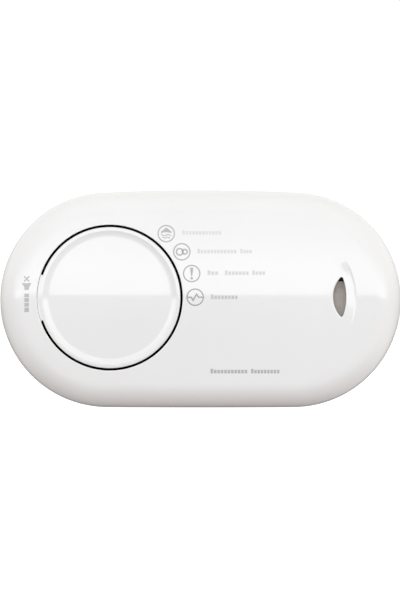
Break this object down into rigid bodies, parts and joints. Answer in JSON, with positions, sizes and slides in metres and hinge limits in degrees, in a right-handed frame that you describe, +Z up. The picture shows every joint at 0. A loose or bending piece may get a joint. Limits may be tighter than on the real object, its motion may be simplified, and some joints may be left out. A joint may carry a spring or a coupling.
{
  "type": "carbon monoxide alarm",
  "caption": "Oval battery carbon monoxide alarm with a large round test button, indicator marks and a gas inlet, for a shelf or a wall.",
  "frame": {"origin": "bottom centre of the alarm's box, on the surface that it stands on", "axes": "+X to the right seen from the front, along the length; +Y from the front face to the wall, the shortest side; +Z up"},
  "size_m": [0.12, 0.036, 0.065],
  "materials": {
    "gloss_white": "polished white ABS",
    "satin_white": "fine textured white ABS",
    "black_plastic": "moulded black plastic",
    "black_foam": "closed cell foam",
    "grey_felt": "needled grey felt",
    "plated_steel": "nickel plated",
    "battery_jacket": "plain printed film",
    "sensor_can": "satin metal can",
    "brass_plate": "bare brass",
    "ceramic_disc": "silvered ceramic",
    "copper_winding": "enamelled copper",
    "board_green": "solder mask on glass fibre board",
    "led_red": "tinted clear epoxy",
    "led_amber": "tinted clear epoxy",
    "led_green": "tinted clear epoxy",
    "label_foil": "blank silver grey foil"
  },
  "bodies": {
    "housing": {"front_cover": "gloss_white", "rear_cover": "satin_white", "battery_upper": "battery_jacket", "battery_lower": "battery_jacket", "contact_negative": "plated_steel", "contact_positive": "plated_steel", "contact_bridge": "plated_steel", "circuit_board": "board_green", "light_shroud": "black_plastic", "led_ventilate": "led_red", "led_alarm": "led_red", "led_fault": "led_amber", "led_power": "led_green", "switch_body": "black_plastic", "microcontroller": "black_plastic", "driver_coil": "copper_winding", "capacitor_large": "battery_jacket", "capacitor_small": "battery_jacket", "sounder_horn": "black_plastic", "sounder_plate": "brass_plate", "sounder_ceramic": "ceramic_disc", "sounder_spring_centre": "plated_steel", "sounder_spring_rim": "plated_steel", "sounder_gasket": "black_foam", "sensor_cell": "sensor_can", "sensor_cap": "black_plastic", "sensor_gasket": "black_foam", "vent_filter": "grey_felt", "case_screw_1": "plated_steel", "case_screw_2": "plated_steel", "case_screw_3": "plated_steel", "case_screw_4": "plated_steel", "board_screw_1": "plated_steel", "board_screw_2": "plated_steel", "board_screw_3": "plated_steel", "rating_label": "label_foil"},
    "button": {"test_button": "gloss_white"},
    "switch_stem_body": {"switch_stem": "black_plastic"},
    "door": {"battery_door": "satin_white"}
  },
  "joints": [
    {"name": "button_press", "type": "hinge", "parent": "housing", "child": "button", "pos_m": [-0.0513, -0.0123, 0.0325], "axis": [0, 0, 1], "range_deg": [0, 0.7], "stiffness_Nm_per_rad": 6, "springref_deg": -0.46},
    {"name": "switch_travel", "type": "slide", "parent": "housing", "child": "switch_stem_body", "axis": [0, 1, 0], "range_m": [0, 0.00053]},
    {"name": "door_swing", "type": "hinge", "parent": "housing", "child": "door", "pos_m": [-0.0326, 0.0165, 0.0295], "axis": [0, 0, 1], "range_deg": [0, 95]}
  ],
  "couplings": [
    {"joint": "switch_travel", "follows": "button_press", "m_per_rad": 0.0421}
  ]
}
